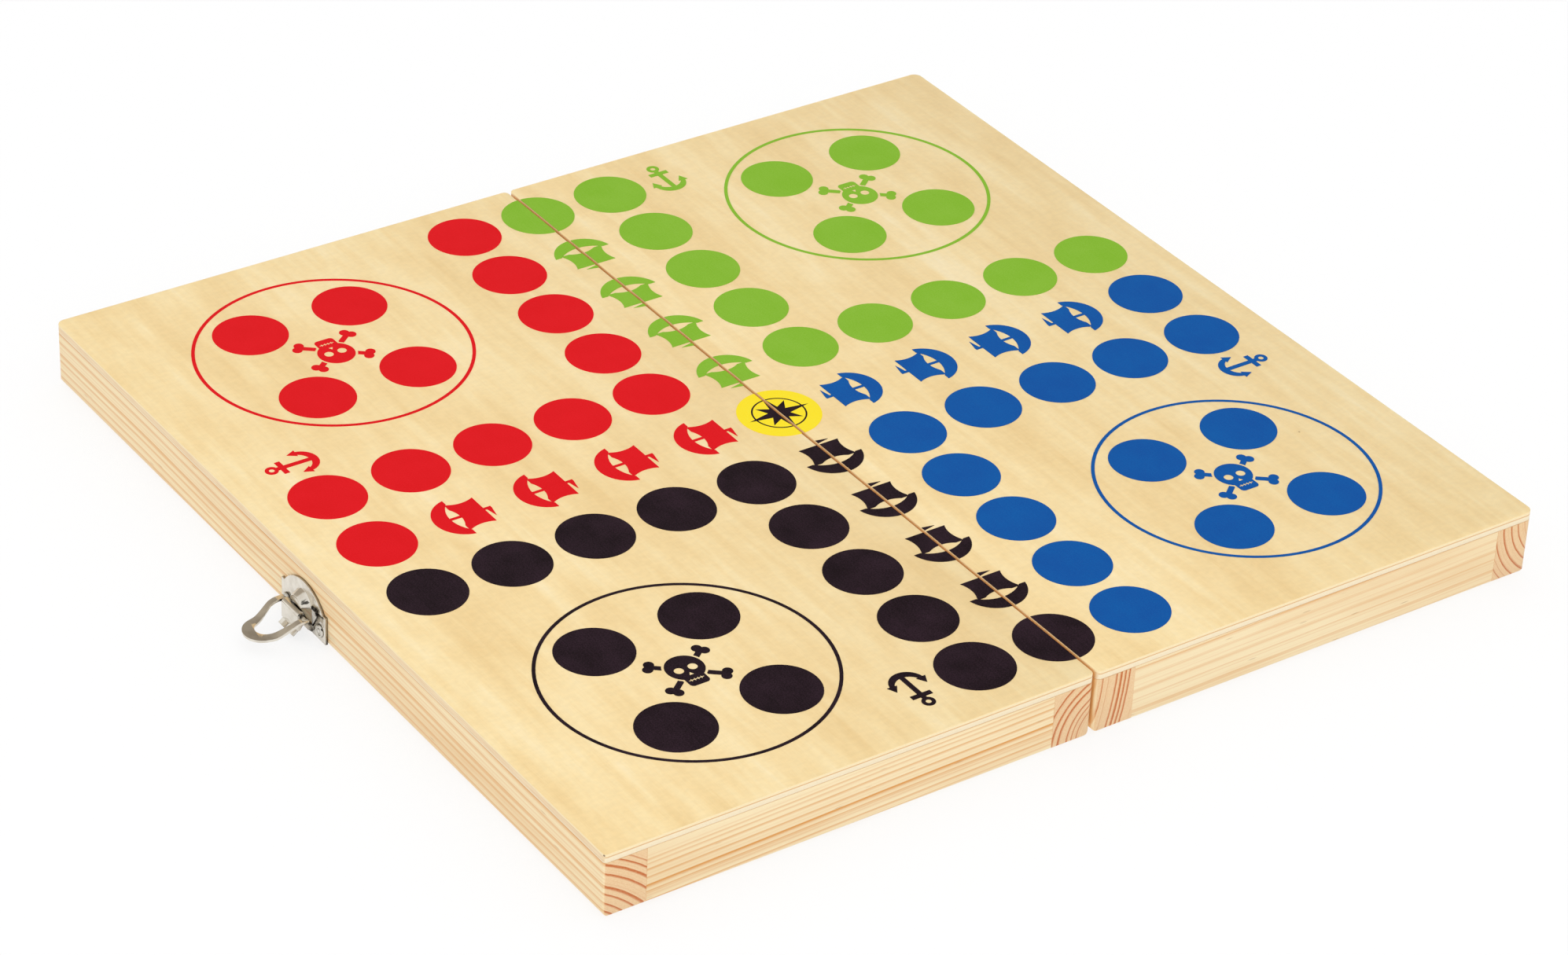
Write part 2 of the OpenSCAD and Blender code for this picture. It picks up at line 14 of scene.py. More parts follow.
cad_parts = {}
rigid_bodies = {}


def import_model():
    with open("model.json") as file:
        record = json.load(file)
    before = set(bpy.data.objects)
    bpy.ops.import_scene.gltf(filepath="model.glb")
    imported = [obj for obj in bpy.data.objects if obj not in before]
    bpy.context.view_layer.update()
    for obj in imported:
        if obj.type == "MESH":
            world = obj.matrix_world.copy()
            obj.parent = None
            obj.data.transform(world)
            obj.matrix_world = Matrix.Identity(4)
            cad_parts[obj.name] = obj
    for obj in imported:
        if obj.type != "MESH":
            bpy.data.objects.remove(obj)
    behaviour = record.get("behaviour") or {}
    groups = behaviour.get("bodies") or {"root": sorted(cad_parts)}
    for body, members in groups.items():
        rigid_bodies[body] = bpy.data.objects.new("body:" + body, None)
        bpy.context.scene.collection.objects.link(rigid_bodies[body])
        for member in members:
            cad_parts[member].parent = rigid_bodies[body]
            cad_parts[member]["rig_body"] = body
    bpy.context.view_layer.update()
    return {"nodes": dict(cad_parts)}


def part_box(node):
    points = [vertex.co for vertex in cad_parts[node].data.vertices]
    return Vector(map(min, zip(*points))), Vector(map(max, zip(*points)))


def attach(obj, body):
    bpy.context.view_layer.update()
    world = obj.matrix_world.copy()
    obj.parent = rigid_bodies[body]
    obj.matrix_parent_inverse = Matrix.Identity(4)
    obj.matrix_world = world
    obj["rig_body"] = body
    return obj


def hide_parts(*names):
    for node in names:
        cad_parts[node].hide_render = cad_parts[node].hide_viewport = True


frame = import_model()
nodes = frame["nodes"]

MM = 0.001
PER_METRE = 1000.0          # millimetres in a metre, for patterns that are worked out in millimetres
HALF_GAP_MM = 0.5           # the seam is 1 mm wide
BATTEN_MM = 12.5            # width of a batten

# Planes of the board: two in metres for the camera, and all in millimetres for the patterns
panel_low, panel_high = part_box("left_panel")
SEAM_X = panel_high.x + HALF_GAP_MM * MM
TOP_Z = panel_high.z
SEAM_MM, BACK_MM, TOP_MM = SEAM_X * PER_METRE, panel_high.y * PER_METRE, TOP_Z * PER_METRE
LEFT_MM, FRONT_MM, PANEL_MM = [v * PER_METRE for v in panel_low]
RIGHT_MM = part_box("right_panel")[1].x * PER_METRE
RIM_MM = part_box("left_batten_outer")[0].z * PER_METRE

# Numbers of the sockets that share a name with others
LOW_IN, HIGH_IN, LOW_OUT, HIGH_OUT = 1, 2, 3, 4     # inputs of a Map Range node
FIRST_COLOUR, SECOND_COLOUR = 6, 7                  # inputs of a Mix node that mixes colours
MIXED_COLOUR = 2                                    # and its output


def linear(hex_colour):
    """sRGB hex to linear RGBA: v / 12.92 below 0.04045, otherwise ((v + 0.055) / 1.055) ** 2.4."""
    values = [int(hex_colour[i:i + 2], 16) / 255 for i in (1, 3, 5)]
    return [v / 12.92 if v <= 0.04045 else ((v + 0.055) / 1.055) ** 2.4 for v in values] + [1.0]


def add(tree, kind, inputs=None, stops=None, **settings):
    """Adds one node, sets it, feeds its inputs with values or sockets, and gives back its outputs.

    The stops of a colour ramp are places with a hex colour or a plain level, the lowest and the highest place first.
    """
    node = tree.nodes.new("ShaderNode" + kind)
    for name, value in settings.items():
        setattr(node, name, value)
    if stops:
        ramp = node.color_ramp
        for i, (place, colour) in enumerate(stops):
            stop = ramp.elements[i] if i < 2 else ramp.elements.new(place)
            stop.position = place
            stop.color = linear(colour) if isinstance(colour, str) else (colour, colour, colour, 1)
    for name, value in (inputs or {}).items():
        if isinstance(value, bpy.types.NodeSocket):
            tree.links.new(value, node.inputs[name])
        else:
            node.inputs[name].default_value = value
    return node.outputs


def material(name):
    """An empty node material and its tree."""
    made = bpy.data.materials.new(name)
    made.use_nodes = True
    made.node_tree.nodes.clear()
    return made, made.node_tree


# Woods

PALE_PINE = "#F8E4BA"
PINK_PINE = "#EFD1A2"
LATEWOOD = "#DC9440"
LATEWOOD_ON_ENDS = "#C4672A"
RESIN = "#A9794A"
SEAM_GLOW = "#EDB468"
SPECK = "#8A5A2E"
OLD_GLUE = "#5E3B22"

LACQUER_IOR = 1.5
LACQUER_SPECULAR = 0.3      # a thin coat that has sunk in gleams less than a full one
SLOT_REACH = 4 * MM         # walls nearer than this count as a slot
SHADE_SAMPLES = 8           # rays of each occlusion node

# A ring's line of latewood: it starts inside its radius, further in the stronger it is, and ends sharply outside
FADE_MM = 0.4
FADE_BY_FORCE_MM = 0.8
PEAK_MM = 0.05
SHARP_MM = 0.18
RINGS_MARGIN_MM = 1.0           # plain wood inside the first ring and outside the last
SIDE_DRIFT_MM = 3.0             # how far rings wander in the side battens, from one extreme to the other
END_DRIFT_MM = 1.2              # and in the front and back ones
STRAIGHT_FROM_FRONT_MM = 70     # length over which the side battens' rings start to wander
WAVER_MM = 0.3


def seam_glow(t, colour, facing):
    """Tints the walls of the seam's slot.

    Light passes there from wall to wall, which leaves the wood's own amber. The tint goes with the occlusion of the
    point, times how far its face looks along X.
    """
    slot = add(t, "AmbientOcclusion", {"Distance": SLOT_REACH}, samples=SHADE_SAMPLES)["AO"]
    slot = add(t, "MapRange", {0: slot, LOW_IN: 0.6, HIGH_IN: 0.25, LOW_OUT: 0.0, HIGH_OUT: 0.9})[0]
    sideways = add(t, "Math", {0: facing["X"]}, operation="ABSOLUTE")[0]
    slot = add(t, "Math", {0: slot, 1: sideways}, operation="MULTIPLY")[0]
    return add(t, "Mix", {"Factor": slot, FIRST_COLOUR: colour, SECOND_COLOUR: linear(SEAM_GLOW)},
               data_type="RGBA")[MIXED_COLOUR]


def clear_lacquered_pine(name, along, pith_mm, rings, lean, contrast, start):
    """Pine sawn from a log and lacquered: rings about a pith line that runs beside the batten.

    A point's radius is its distance from the pith line, which climbs by lean times the length. Each ring is a line of
    latewood at its own radius and of its own force, sharp on its outer side and fading over 0.6 to 1.2 mm inwards. The
    same rings give arcs on the end grain and long lines on the faces, whose strength is the contrast. The start is a
    place in the noises, so that no two battens are alike.
    It gives the eye rust-brown arcs on tan ends, and thin honey lines on cream faces.
    """
    made, t = material(name)
    here = add(t, "TexCoord")
    place = add(t, "SeparateXYZ", {0: here["Object"]})
    facing = add(t, "SeparateXYZ", {0: here["Normal"]})
    side, length = ("X", "Y") if along == "Y" else ("Y", "X")
    # all in millimetres from here on: x across the batten, y along it, z up
    turned = add(t, "CombineXYZ", {0: place[side], 1: place[length], 2: place["Z"]})[0]
    local = add(t, "VectorMath", {0: turned, "Scale": PER_METRE}, operation="SCALE")[0]
    parts = add(t, "SeparateXYZ", {0: local})

    # slow drift of the rings, over some 80 mm of length: up to 1.5 mm either way in the side battens, and none at
    # their front ends, and up to 0.6 mm in the front and back ones
    stretched = add(t, "VectorMath", {0: local, 1: (0.02, 0.012, 0.02)}, operation="MULTIPLY")[0]
    drift = add(t, "TexNoise", {"Vector": stretched, "W": start, "Scale": 1.0, "Detail": 1.0},
                noise_dimensions="4D")["Fac"]
    reach = END_DRIFT_MM
    if along == "Y":
        reach = add(t, "MapRange", {0: parts["Y"], LOW_IN: FRONT_MM, HIGH_IN: FRONT_MM + STRAIGHT_FROM_FRONT_MM,
                                    LOW_OUT: 0.0, HIGH_OUT: SIDE_DRIFT_MM})[0]
    drift = add(t, "Math", {0: drift, 1: 0.5}, operation="SUBTRACT")[0]
    drift = add(t, "Math", {0: drift, 1: reach}, operation="MULTIPLY")[0]

    # fine waver, some 0.1 mm, that keeps a ring from being a perfect arc: a noise less its mean
    stretched = add(t, "VectorMath", {0: local, 1: (0.3, 0.02, 0.3)}, operation="MULTIPLY")[0]
    waver = add(t, "TexNoise", {"Vector": stretched, "W": start, "Scale": 1.0, "Detail": 2.0},
                noise_dimensions="4D")["Fac"]
    waver = add(t, "Math", {0: waver, 1: WAVER_MM, 2: drift}, operation="MULTIPLY_ADD")[0]

    rise = add(t, "Math", {0: parts["Y"], 1: lean, 2: parts["Z"]}, operation="MULTIPLY_ADD")[0]
    across = add(t, "CombineXYZ", {0: parts["X"], 1: 0.0, 2: rise})[0]
    from_pith = add(t, "VectorMath", {0: across, 1: (pith_mm[0], 0.0, pith_mm[1])},
                    operation="DISTANCE")["Value"]
    radius = add(t, "Math", {0: from_pith, 1: waver}, operation="ADD")[0]
    radius = add(t, "Math", {0: radius, 1: WAVER_MM / 2}, operation="SUBTRACT")[0]

    low, high = rings[0][0] - RINGS_MARGIN_MM, rings[-1][0] + RINGS_MARGIN_MM
    lines = [(0.0, 0.0), (1.0, 0.0)]
    for ring_mm, force in rings:
        starts_mm = ring_mm - FADE_MM - FADE_BY_FORCE_MM * force
        for edge_mm, level in ((starts_mm, 0.0), (ring_mm - PEAK_MM, force), (ring_mm + SHARP_MM, 0.0)):
            lines.append(((edge_mm - low) / (high - low), level))
    late = add(t, "MapRange", {0: radius, LOW_IN: low, HIGH_IN: high})[0]
    late = add(t, "ValToRGB", {0: late}, stops=lines)[0]

    # faint lines between the rings, 0.5 to 1 mm apart
    faint = add(t, "TexNoise", {"W": radius, "Scale": 1.3, "Detail": 2.0}, noise_dimensions="1D")["Fac"]
    faint = add(t, "MapRange", {0: faint, LOW_IN: 0.52, HIGH_IN: 0.74, LOW_OUT: 0.0, HIGH_OUT: 0.26})[0]
    # fibres: threads 0.2 mm wide and some 12 mm long on the faces, and pores 0.2 mm across on the ends
    stretched = add(t, "VectorMath", {0: local, 1: (5.0, 0.08, 5.0)}, operation="MULTIPLY")[0]
    fibre = add(t, "TexNoise", {"Vector": stretched, "Scale": 1.0, "Detail": 3.0})["Fac"]
    # broad tone of the board, pinker and darker, some 11 mm across and 80 mm along
    stretched = add(t, "VectorMath", {0: local, 1: (0.09, 0.012, 0.09)}, operation="MULTIPLY")[0]
    tone = add(t, "TexNoise", {"Vector": stretched, "W": start, "Scale": 1.0, "Detail": 2.0},
               noise_dimensions="4D")["Fac"]
    # short resin flecks, 0.3 by 3 mm, few of them
    stretched = add(t, "VectorMath", {0: local, 1: (0.5, 0.05, 0.5)}, operation="MULTIPLY")[0]
    fleck = add(t, "TexVoronoi", {"Vector": stretched, "Scale": 1.0, "Randomness": 1.0})["Distance"]
    fleck = add(t, "MapRange", {0: fleck, LOW_IN: 0.09, HIGH_IN: 0.04, LOW_OUT: 0.0, HIGH_OUT: 0.45})[0]

    # end grain where the face looks along the batten
    ahead = add(t, "Math", {0: facing[length]}, operation="ABSOLUTE")[0]
    end = add(t, "MapRange", {0: ahead, LOW_IN: 0.6, HIGH_IN: 0.85}, interpolation_type="SMOOTHSTEP")[0]

    # the faces: cream to pink ground, honey lines with fibres in them, and flecks
    ground = add(t, "MapRange", {0: tone, LOW_IN: 0.46, HIGH_IN: 0.7})[0]
    ground = add(t, "Mix", {"Factor": ground, FIRST_COLOUR: linear(PALE_PINE),
                            SECOND_COLOUR: linear(PINK_PINE)}, data_type="RGBA")[MIXED_COLOUR]
    streaks = add(t, "Math", {0: fibre, 1: 0.4, 2: -0.2}, operation="MULTIPLY_ADD")[0]
    streaks = add(t, "Math", {0: faint, 1: streaks}, operation="ADD")[0]
    face_line = add(t, "Math", {0: late, 1: 1.1 * contrast, 2: streaks}, operation="MULTIPLY_ADD",
                    use_clamp=True)[0]
    face_colour = add(t, "Mix", {"Factor": face_line, FIRST_COLOUR: ground, SECOND_COLOUR: linear(LATEWOOD)},
                      data_type="RGBA")[MIXED_COLOUR]
    face_colour = add(t, "Mix", {"Factor": fleck, FIRST_COLOUR: face_colour, SECOND_COLOUR: linear(RESIN)},
                      data_type="RGBA")[MIXED_COLOUR]

    # the ends: tan ground of pores, and rust-brown arcs that the pores break up
    broken = add(t, "MapRange", {0: fibre, LOW_IN: 0.3, HIGH_IN: 0.6, LOW_OUT: 0.62, HIGH_OUT: 1.1})[0]
    end_line = add(t, "MapRange", {0: late, LOW_IN: 0.28, HIGH_IN: 0.68})[0]
    faint_on_end = add(t, "Math", {0: faint, 1: 0.6}, operation="MULTIPLY")[0]
    end_line = add(t, "Math", {0: end_line, 1: broken, 2: faint_on_end}, operation="MULTIPLY_ADD",
                   use_clamp=True)[0]
    end_ground = add(t, "ValToRGB", {0: fibre}, stops=[(0.3, "#E6BE8E"), (0.68, "#F2D2A6")])[0]
    end_colour = add(t, "Mix", {"Factor": end_line, FIRST_COLOUR: end_ground,
                                SECOND_COLOUR: linear(LATEWOOD_ON_ENDS)}, data_type="RGBA")[MIXED_COLOUR]
    colour = add(t, "Mix", {"Factor": end, FIRST_COLOUR: face_colour, SECOND_COLOUR: end_colour},
                 data_type="RGBA")[MIXED_COLOUR]
    colour = seam_glow(t, colour, facing)

    # the lacquer sinks in a little, so latewood is glossier than the soft wood
    sheen = add(t, "MapRange", {0: late, LOW_OUT: 0.5, HIGH_OUT: 0.38})[0]
    height = add(t, "Math", {0: late, 1: 0.5, 2: fibre}, operation="MULTIPLY_ADD")[0]
    relief = add(t, "Bump", {"Height": height, "Strength": 0.25, "Distance": 0.06 * MM})[0]
    shader = add(t, "BsdfPrincipled", {"Base Color": colour, "Roughness": sheen, "IOR": LACQUER_IOR,
                                       "Specular IOR Level": LACQUER_SPECULAR, "Normal": relief})
    add(t, "OutputMaterial", {"Surface": shader[0]})
    return made


EDGE_STACK_MM = 2.9         # the layers' ramp runs over this height, a little more than the panel's 2.8 mm
EDGE_MIDDLE_MM = EDGE_STACK_MM / 2


def lacquered_plywood(name, start, chip_mm):
    """Three-ply with birch faces, rotary cut and clear lacquered, its grain along the seam.

    The start is a place in the noises, so that the two panels differ, and chip_mm is where a corner is chipped.
    The face's tone is a sum of noises: broad bands, streaks and fibres drawn out 5 to 25 times along Y, and soft
    blotches, with a fine mottling that multiplies it. The edge's tone goes by height above the panel's underside: a
    thin veneer, a pale core, a brown glue line two thirds up, and the face veneer. Where the edge looks along X, its
    middle shows the core's side grain instead.
    It gives the eye a warm cream face with faint streaks and a rare speck, and a pale striped edge with a chipped
    corner.
    """
    made, t = material(name)
    here = add(t, "TexCoord")
    facing = add(t, "SeparateXYZ", {0: here["Normal"]})
    local = add(t, "VectorMath", {0: here["Object"], "Scale": PER_METRE}, operation="SCALE")[0]
    place = add(t, "SeparateXYZ", {0: local})

    # broad bands some 18 mm wide and 80 mm long
    stretched = add(t, "VectorMath", {0: local, 1: (0.055, 0.012, 0.05)}, operation="MULTIPLY")[0]
    band = add(t, "TexNoise", {"Vector": stretched, "W": start, "Scale": 1.0, "Detail": 2.0,
                               "Distortion": 0.6}, noise_dimensions="4D")["Fac"]
    # streaks some 3 mm wide and 36 mm long
    stretched = add(t, "VectorMath", {0: local, 1: (0.33, 0.028, 0.3)}, operation="MULTIPLY")[0]
    streak = add(t, "TexNoise", {"Vector": stretched, "W": start, "Scale": 1.0, "Detail": 3.0,
                                 "Distortion": 0.3}, noise_dimensions="4D")["Fac"]
    # fibres 0.25 mm wide and 6 mm long
    stretched = add(t, "VectorMath", {0: local, 1: (4.0, 0.16, 4.0)}, operation="MULTIPLY")[0]
    fibre = add(t, "TexNoise", {"Vector": stretched, "Scale": 1.0, "Detail": 2.0})["Fac"]
    # blotches some 8 by 12 mm where the lacquer soaked in unevenly
    stretched = add(t, "VectorMath", {0: local, 1: (0.12, 0.08, 0.1)}, operation="MULTIPLY")[0]
    blotch = add(t, "TexNoise", {"Vector": stretched, "W": start, "Scale": 1.0, "Detail": 2.0},
                 noise_dimensions="4D")["Fac"]
    mixed = add(t, "Math", {0: band, 1: 0.85, 2: -0.35}, operation="MULTIPLY_ADD")[0]
    for part, share in ((streak, 0.55), (blotch, 0.35), (fibre, 0.22)):
        mixed = add(t, "Math", {0: part, 1: share, 2: mixed}, operation="MULTIPLY_ADD")[0]
    face = add(t, "ValToRGB", {0: mixed}, stops=[
        (0.3, "#FCE9BD"), (0.9, "#EECE92"), (0.5, "#F9E1AC"), (0.66, "#F5D9A0")])[0]
    # fine mottling, 2 mm across and 1.5 mm along, from the lathe that peeled the veneer
    stretched = add(t, "VectorMath", {0: local, 1: (0.45, 0.7, 0.5)}, operation="MULTIPLY")[0]
    mottle = add(t, "TexNoise", {"Vector": stretched, "Scale": 1.0, "Detail": 3.0})["Fac"]
    mottle = add(t, "MapRange", {0: mottle, LOW_IN: 0.35, HIGH_IN: 0.65, LOW_OUT: 0.975, HIGH_OUT: 1.02})[0]
    face = add(t, "VectorMath", {0: face, "Scale": mottle}, operation="SCALE")[0]
    # specks: rare dots of 0.5 mm, a little longer along the grain
    stretched = add(t, "VectorMath", {0: local, 1: (0.034, 0.026, 0.0)}, operation="MULTIPLY")[0]
    speck = add(t, "TexVoronoi", {"Vector": stretched, "Scale": 1.0, "Randomness": 1.0})["Distance"]
    speck = add(t, "MapRange", {0: speck, LOW_IN: 0.012, HIGH_IN: 0.006, LOW_OUT: 0.0, HIGH_OUT: 0.55})[0]
    face = add(t, "Mix", {"Factor": speck, FIRST_COLOUR: face, SECOND_COLOUR: linear(SPECK)},
               data_type="RGBA")[MIXED_COLOUR]

    # layers of the edge by height above the panel's underside, wavy with the bands
    level = add(t, "Math", {0: place["Z"], 1: PANEL_MM}, operation="SUBTRACT")[0]
    level = add(t, "Math", {0: band, 1: 0.12, 2: level}, operation="MULTIPLY_ADD")[0]
    layers = add(t, "Math", {0: level, 1: EDGE_STACK_MM}, operation="DIVIDE")[0]
    layers = add(t, "ValToRGB", {0: layers}, stops=[
        (0.0, "#D9AE86"), (1.0, "#F9E4B6"), (0.09, "#E8C8A2"), (0.14, "#F9E8C6"), (0.56, "#FAEAC8"),
        (0.63, "#E0B27C"), (0.68, "#E6BC88"), (0.73, "#FAE6BC")])[0]
    core = add(t, "Math", {0: level, 1: EDGE_MIDDLE_MM}, operation="SUBTRACT")[0]
    core = add(t, "Math", {0: core}, operation="ABSOLUTE")[0]
    core = add(t, "MapRange", {0: core, LOW_IN: 0.9, HIGH_IN: 0.8})[0]
    # on the sides the core shows its side grain, a smooth pinkish band with faint lines
    sideways = add(t, "Math", {0: facing["X"]}, operation="ABSOLUTE")[0]
    sideways = add(t, "MapRange", {0: sideways, LOW_IN: 0.6, HIGH_IN: 0.85}, interpolation_type="SMOOTHSTEP")[0]
    stretched = add(t, "VectorMath", {0: local, 1: (1.0, 0.08, 2.4)}, operation="MULTIPLY")[0]
    pores = add(t, "TexNoise", {"Vector": stretched, "Scale": 1.0, "Detail": 3.0})["Fac"]
    ends = add(t, "ValToRGB", {0: pores}, stops=[(0.35, "#EACB9F"), (0.62, "#F3DBB3")])[0]
    side_core = add(t, "Math", {0: sideways, 1: core}, operation="MULTIPLY")[0]
    edge = add(t, "Mix", {"Factor": side_core, FIRST_COLOUR: layers, SECOND_COLOUR: ends},
               data_type="RGBA")[MIXED_COLOUR]
    edge_grain = add(t, "MapRange", {0: fibre, LOW_IN: 0.3, HIGH_IN: 0.7, LOW_OUT: 0.95, HIGH_OUT: 1.03})[0]
    edge = add(t, "VectorMath", {0: edge, "Scale": edge_grain}, operation="SCALE")[0]
    upright = add(t, "Math", {0: facing["Z"]}, operation="ABSOLUTE")[0]
    on_face = add(t, "MapRange", {0: upright, LOW_IN: 0.45, HIGH_IN: 0.75}, interpolation_type="SMOOTHSTEP")[0]
    colour = add(t, "Mix", {"Factor": on_face, FIRST_COLOUR: edge, SECOND_COLOUR: face},
                 data_type="RGBA")[MIXED_COLOUR]
    colour = seam_glow(t, colour, facing)

    # a chip of 0.7 mm in the face veneer, brown with old glue
    chip = add(t, "VectorMath", {0: local, 1: chip_mm}, operation="DISTANCE")["Value"]
    chip = add(t, "MapRange", {0: chip, LOW_IN: 0.42, HIGH_IN: 0.28, LOW_OUT: 0.0, HIGH_OUT: 0.85})[0]
    colour = add(t, "Mix", {"Factor": chip, FIRST_COLOUR: colour, SECOND_COLOUR: linear(OLD_GLUE)},
                 data_type="RGBA")[MIXED_COLOUR]
    sheen = add(t, "MapRange", {0: streak, LOW_IN: 0.3, HIGH_IN: 0.7, LOW_OUT: 0.36, HIGH_OUT: 0.46})[0]
    height = add(t, "Math", {0: streak, 1: 0.4, 2: fibre}, operation="MULTIPLY_ADD")[0]
    relief = add(t, "Bump", {"Height": height, "Strength": 0.2, "Distance": 0.05 * MM})[0]
    shader = add(t, "BsdfPrincipled", {"Base Color": colour, "Roughness": sheen, "IOR": LACQUER_IOR,
                                       "Specular IOR Level": LACQUER_SPECULAR, "Normal": relief})
    add(t, "OutputMaterial", {"Surface": shader[0]})
    return made


# Inks and metals

INK_IOR = 1.5
# near-black brown painted into the metal as shade where walls close in
PAINTED_SHADE = "#2C2622"
PAINTED_SHADE_REACH = 5 * MM        # walls nearer than this get painted shade between them


def screen_print_ink(name, ground, worn, shine):
    """Enamel ink squeezed through a screen on to the lacquered veneer: an even film with a soft sheen.

    The mesh leaves a pebble of 0.35 mm in the film, and the veneer's fibres show through it faintly along Y. Where the
    film is thin the ground is a shade lighter. The shine is the film's specular level.
    It gives the eye flat, strong colour with a finely grained gleam.
    """
    made, t = material(name)
    here = add(t, "TexCoord")
    local = add(t, "VectorMath", {0: here["Object"], "Scale": PER_METRE}, operation="SCALE")[0]
    pebble = add(t, "TexNoise", {"Vector": local, "Scale": 2.8, "Detail": 2.0})["Fac"]
    stretched = add(t, "VectorMath", {0: local, 1: (3.0, 0.14, 3.0)}, operation="MULTIPLY")[0]
    fibre = add(t, "TexNoise", {"Vector": stretched, "Scale": 1.0, "Detail": 2.0})["Fac"]
    # patches some 11 mm across where more or less ink was laid
    patch = add(t, "TexNoise", {"Vector": local, "Scale": 0.09, "Detail": 2.0})["Fac"]
    film = add(t, "Math", {0: patch, 1: 0.3}, operation="MULTIPLY")[0]
    for part, share in ((fibre, 0.15), (pebble, 0.55)):
        film = add(t, "Math", {0: part, 1: share, 2: film}, operation="MULTIPLY_ADD")[0]
    colour = add(t, "ValToRGB", {0: film}, stops=[(0.38, worn), (0.6, ground)])[0]
    sheen = add(t, "MapRange", {0: patch, LOW_IN: 0.3, HIGH_IN: 0.7, LOW_OUT: 0.3, HIGH_OUT: 0.4})[0]
    height = add(t, "Math", {0: fibre, 1: 0.25, 2: pebble}, operation="MULTIPLY_ADD")[0]
    relief = add(t, "Bump", {"Height": height, "Strength": 0.35, "Distance": 0.06 * MM})[0]
    shader = add(t, "BsdfPrincipled", {"Base Color": colour, "Roughness": sheen, "IOR": INK_IOR,
                                       "Specular IOR Level": shine, "Normal": relief})
    add(t, "OutputMaterial", {"Surface": shader[0]})
    return made


def plated_steel(name, bright, dull, low, high, lines_mm, beside_others=True):
    """Pressed steel, barrel plated: bright metal, a shade duller where it is rubbed, and dark in its corners.

    Roughness goes from low on the open faces to high in rubbed patches some 3 mm across, and drawing lines of the
    given spacing run along Y. Shade is painted into the colour where walls stand within 5 mm of each other, as the
    occlusion of a point gives it: by all that stands beside it, or by its own piece alone.
    It gives the eye hard white and dark reflections with a little grain, and painted shade in its corners.
    """
    made, t = material(name)
    here = add(t, "TexCoord")
    local = add(t, "VectorMath", {0: here["Object"], "Scale": PER_METRE}, operation="SCALE")[0]
    rubbed = add(t, "TexNoise", {"Vector": local, "Scale": 0.32, "Detail": 1.0})["Fac"]
    per_mm = 1.0 / lines_mm
    stretched = add(t, "VectorMath", {0: local, 1: (per_mm, 0.4, per_mm)}, operation="MULTIPLY")[0]
    lines = add(t, "TexNoise", {"Vector": stretched, "Scale": 1.0, "Detail": 2.0})["Fac"]
    colour = add(t, "ValToRGB", {0: rubbed}, stops=[(0.4, bright), (0.7, dull)])[0]
    # painted shade: the lower the occlusion of a point, the nearer its colour goes to a near-black brown
    open_to_air = add(t, "AmbientOcclusion", {"Distance": PAINTED_SHADE_REACH}, samples=SHADE_SAMPLES,
                      only_local=not beside_others)["AO"]
    painted_shade_mask = add(t, "MapRange", {0: open_to_air, LOW_IN: 0.72, HIGH_IN: 0.38})[0]
    colour = add(t, "Mix", {"Factor": painted_shade_mask, FIRST_COLOUR: colour, SECOND_COLOUR: linear(PAINTED_SHADE)},
                 data_type="RGBA")[MIXED_COLOUR]
    patches = add(t, "MapRange", {0: rubbed, LOW_IN: 0.35, HIGH_IN: 0.7, LOW_OUT: low, HIGH_OUT: high})[0]
    drawn = add(t, "MapRange", {0: lines, LOW_IN: 0.3, HIGH_IN: 0.7, LOW_OUT: -0.02, HIGH_OUT: 0.03})[0]
    rough = add(t, "Math", {0: patches, 1: drawn}, operation="ADD")[0]
    relief = add(t, "Bump", {"Height": lines, "Strength": 0.06, "Distance": 0.03 * MM})[0]
    shader = add(t, "BsdfPrincipled", {"Base Color": colour, "Metallic": 1.0, "Roughness": rough,
                                       "Normal": relief})
    add(t, "OutputMaterial", {"Surface": shader[0]})
    return made


# Copies of CAD nodes with eased edges

MERGE_WITHIN = 0.002 * MM       # corners of the CAD mesh's loose triangles
FLAT_WITHIN_DEG = 0.4           # triangles of one flat or round face
SHARP_FROM_DEG = 25             # edges that the bevel rounds

PANEL_EDGE = 0.2 * MM
BATTEN_EDGE = 0.1 * MM
NICKEL_EDGE = 0.12 * MM
WIRE_EDGE = 0.08 * MM
HINGE_EDGE = 0.1 * MM


def eased_copy(node, made, width, segments=2):
    """A copy of a CAD node in its material, with its sharp edges rounded and its round faces shaded smooth.

    Its loose triangles are merged and joined to whole faces, and a bevel of the given width rounds the edges between
    faces that meet at more than 25 degrees.
    """
    shape = bmesh.new()
    shape.from_mesh(nodes[node].data)
    bmesh.ops.remove_doubles(shape, verts=shape.verts, dist=MERGE_WITHIN)
    bmesh.ops.dissolve_limit(shape, angle_limit=math.radians(FLAT_WITHIN_DEG), verts=shape.verts,
                             edges=shape.edges)
    mesh = bpy.data.meshes.new(node + "_eased")
    shape.to_mesh(mesh)
    shape.free()
    mesh.polygons.foreach_set("use_smooth", np.ones(len(mesh.polygons), bool))
    mesh.materials.clear()
    mesh.materials.append(made)
    piece = bpy.data.objects.new(node + "_eased", mesh)
    bpy.context.scene.collection.objects.link(piece)
    bevel = piece.modifiers.new("eased_edges", "BEVEL")
    bevel.width = width
    bevel.segments = segments
    bevel.limit_method = "ANGLE"
    bevel.angle_limit = math.radians(SHARP_FROM_DEG)
    bevel.harden_normals = True
    bevel.miter_outer = "MITER_ARC"
    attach(piece, nodes[node]["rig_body"])
    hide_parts(node)


def dress(node, made):
    """Gives a carried CAD node its material."""
    mesh = nodes[node].data
    mesh.materials.clear()
    mesh.materials.append(made)


# Panels, each with a chip at one corner of its top edge

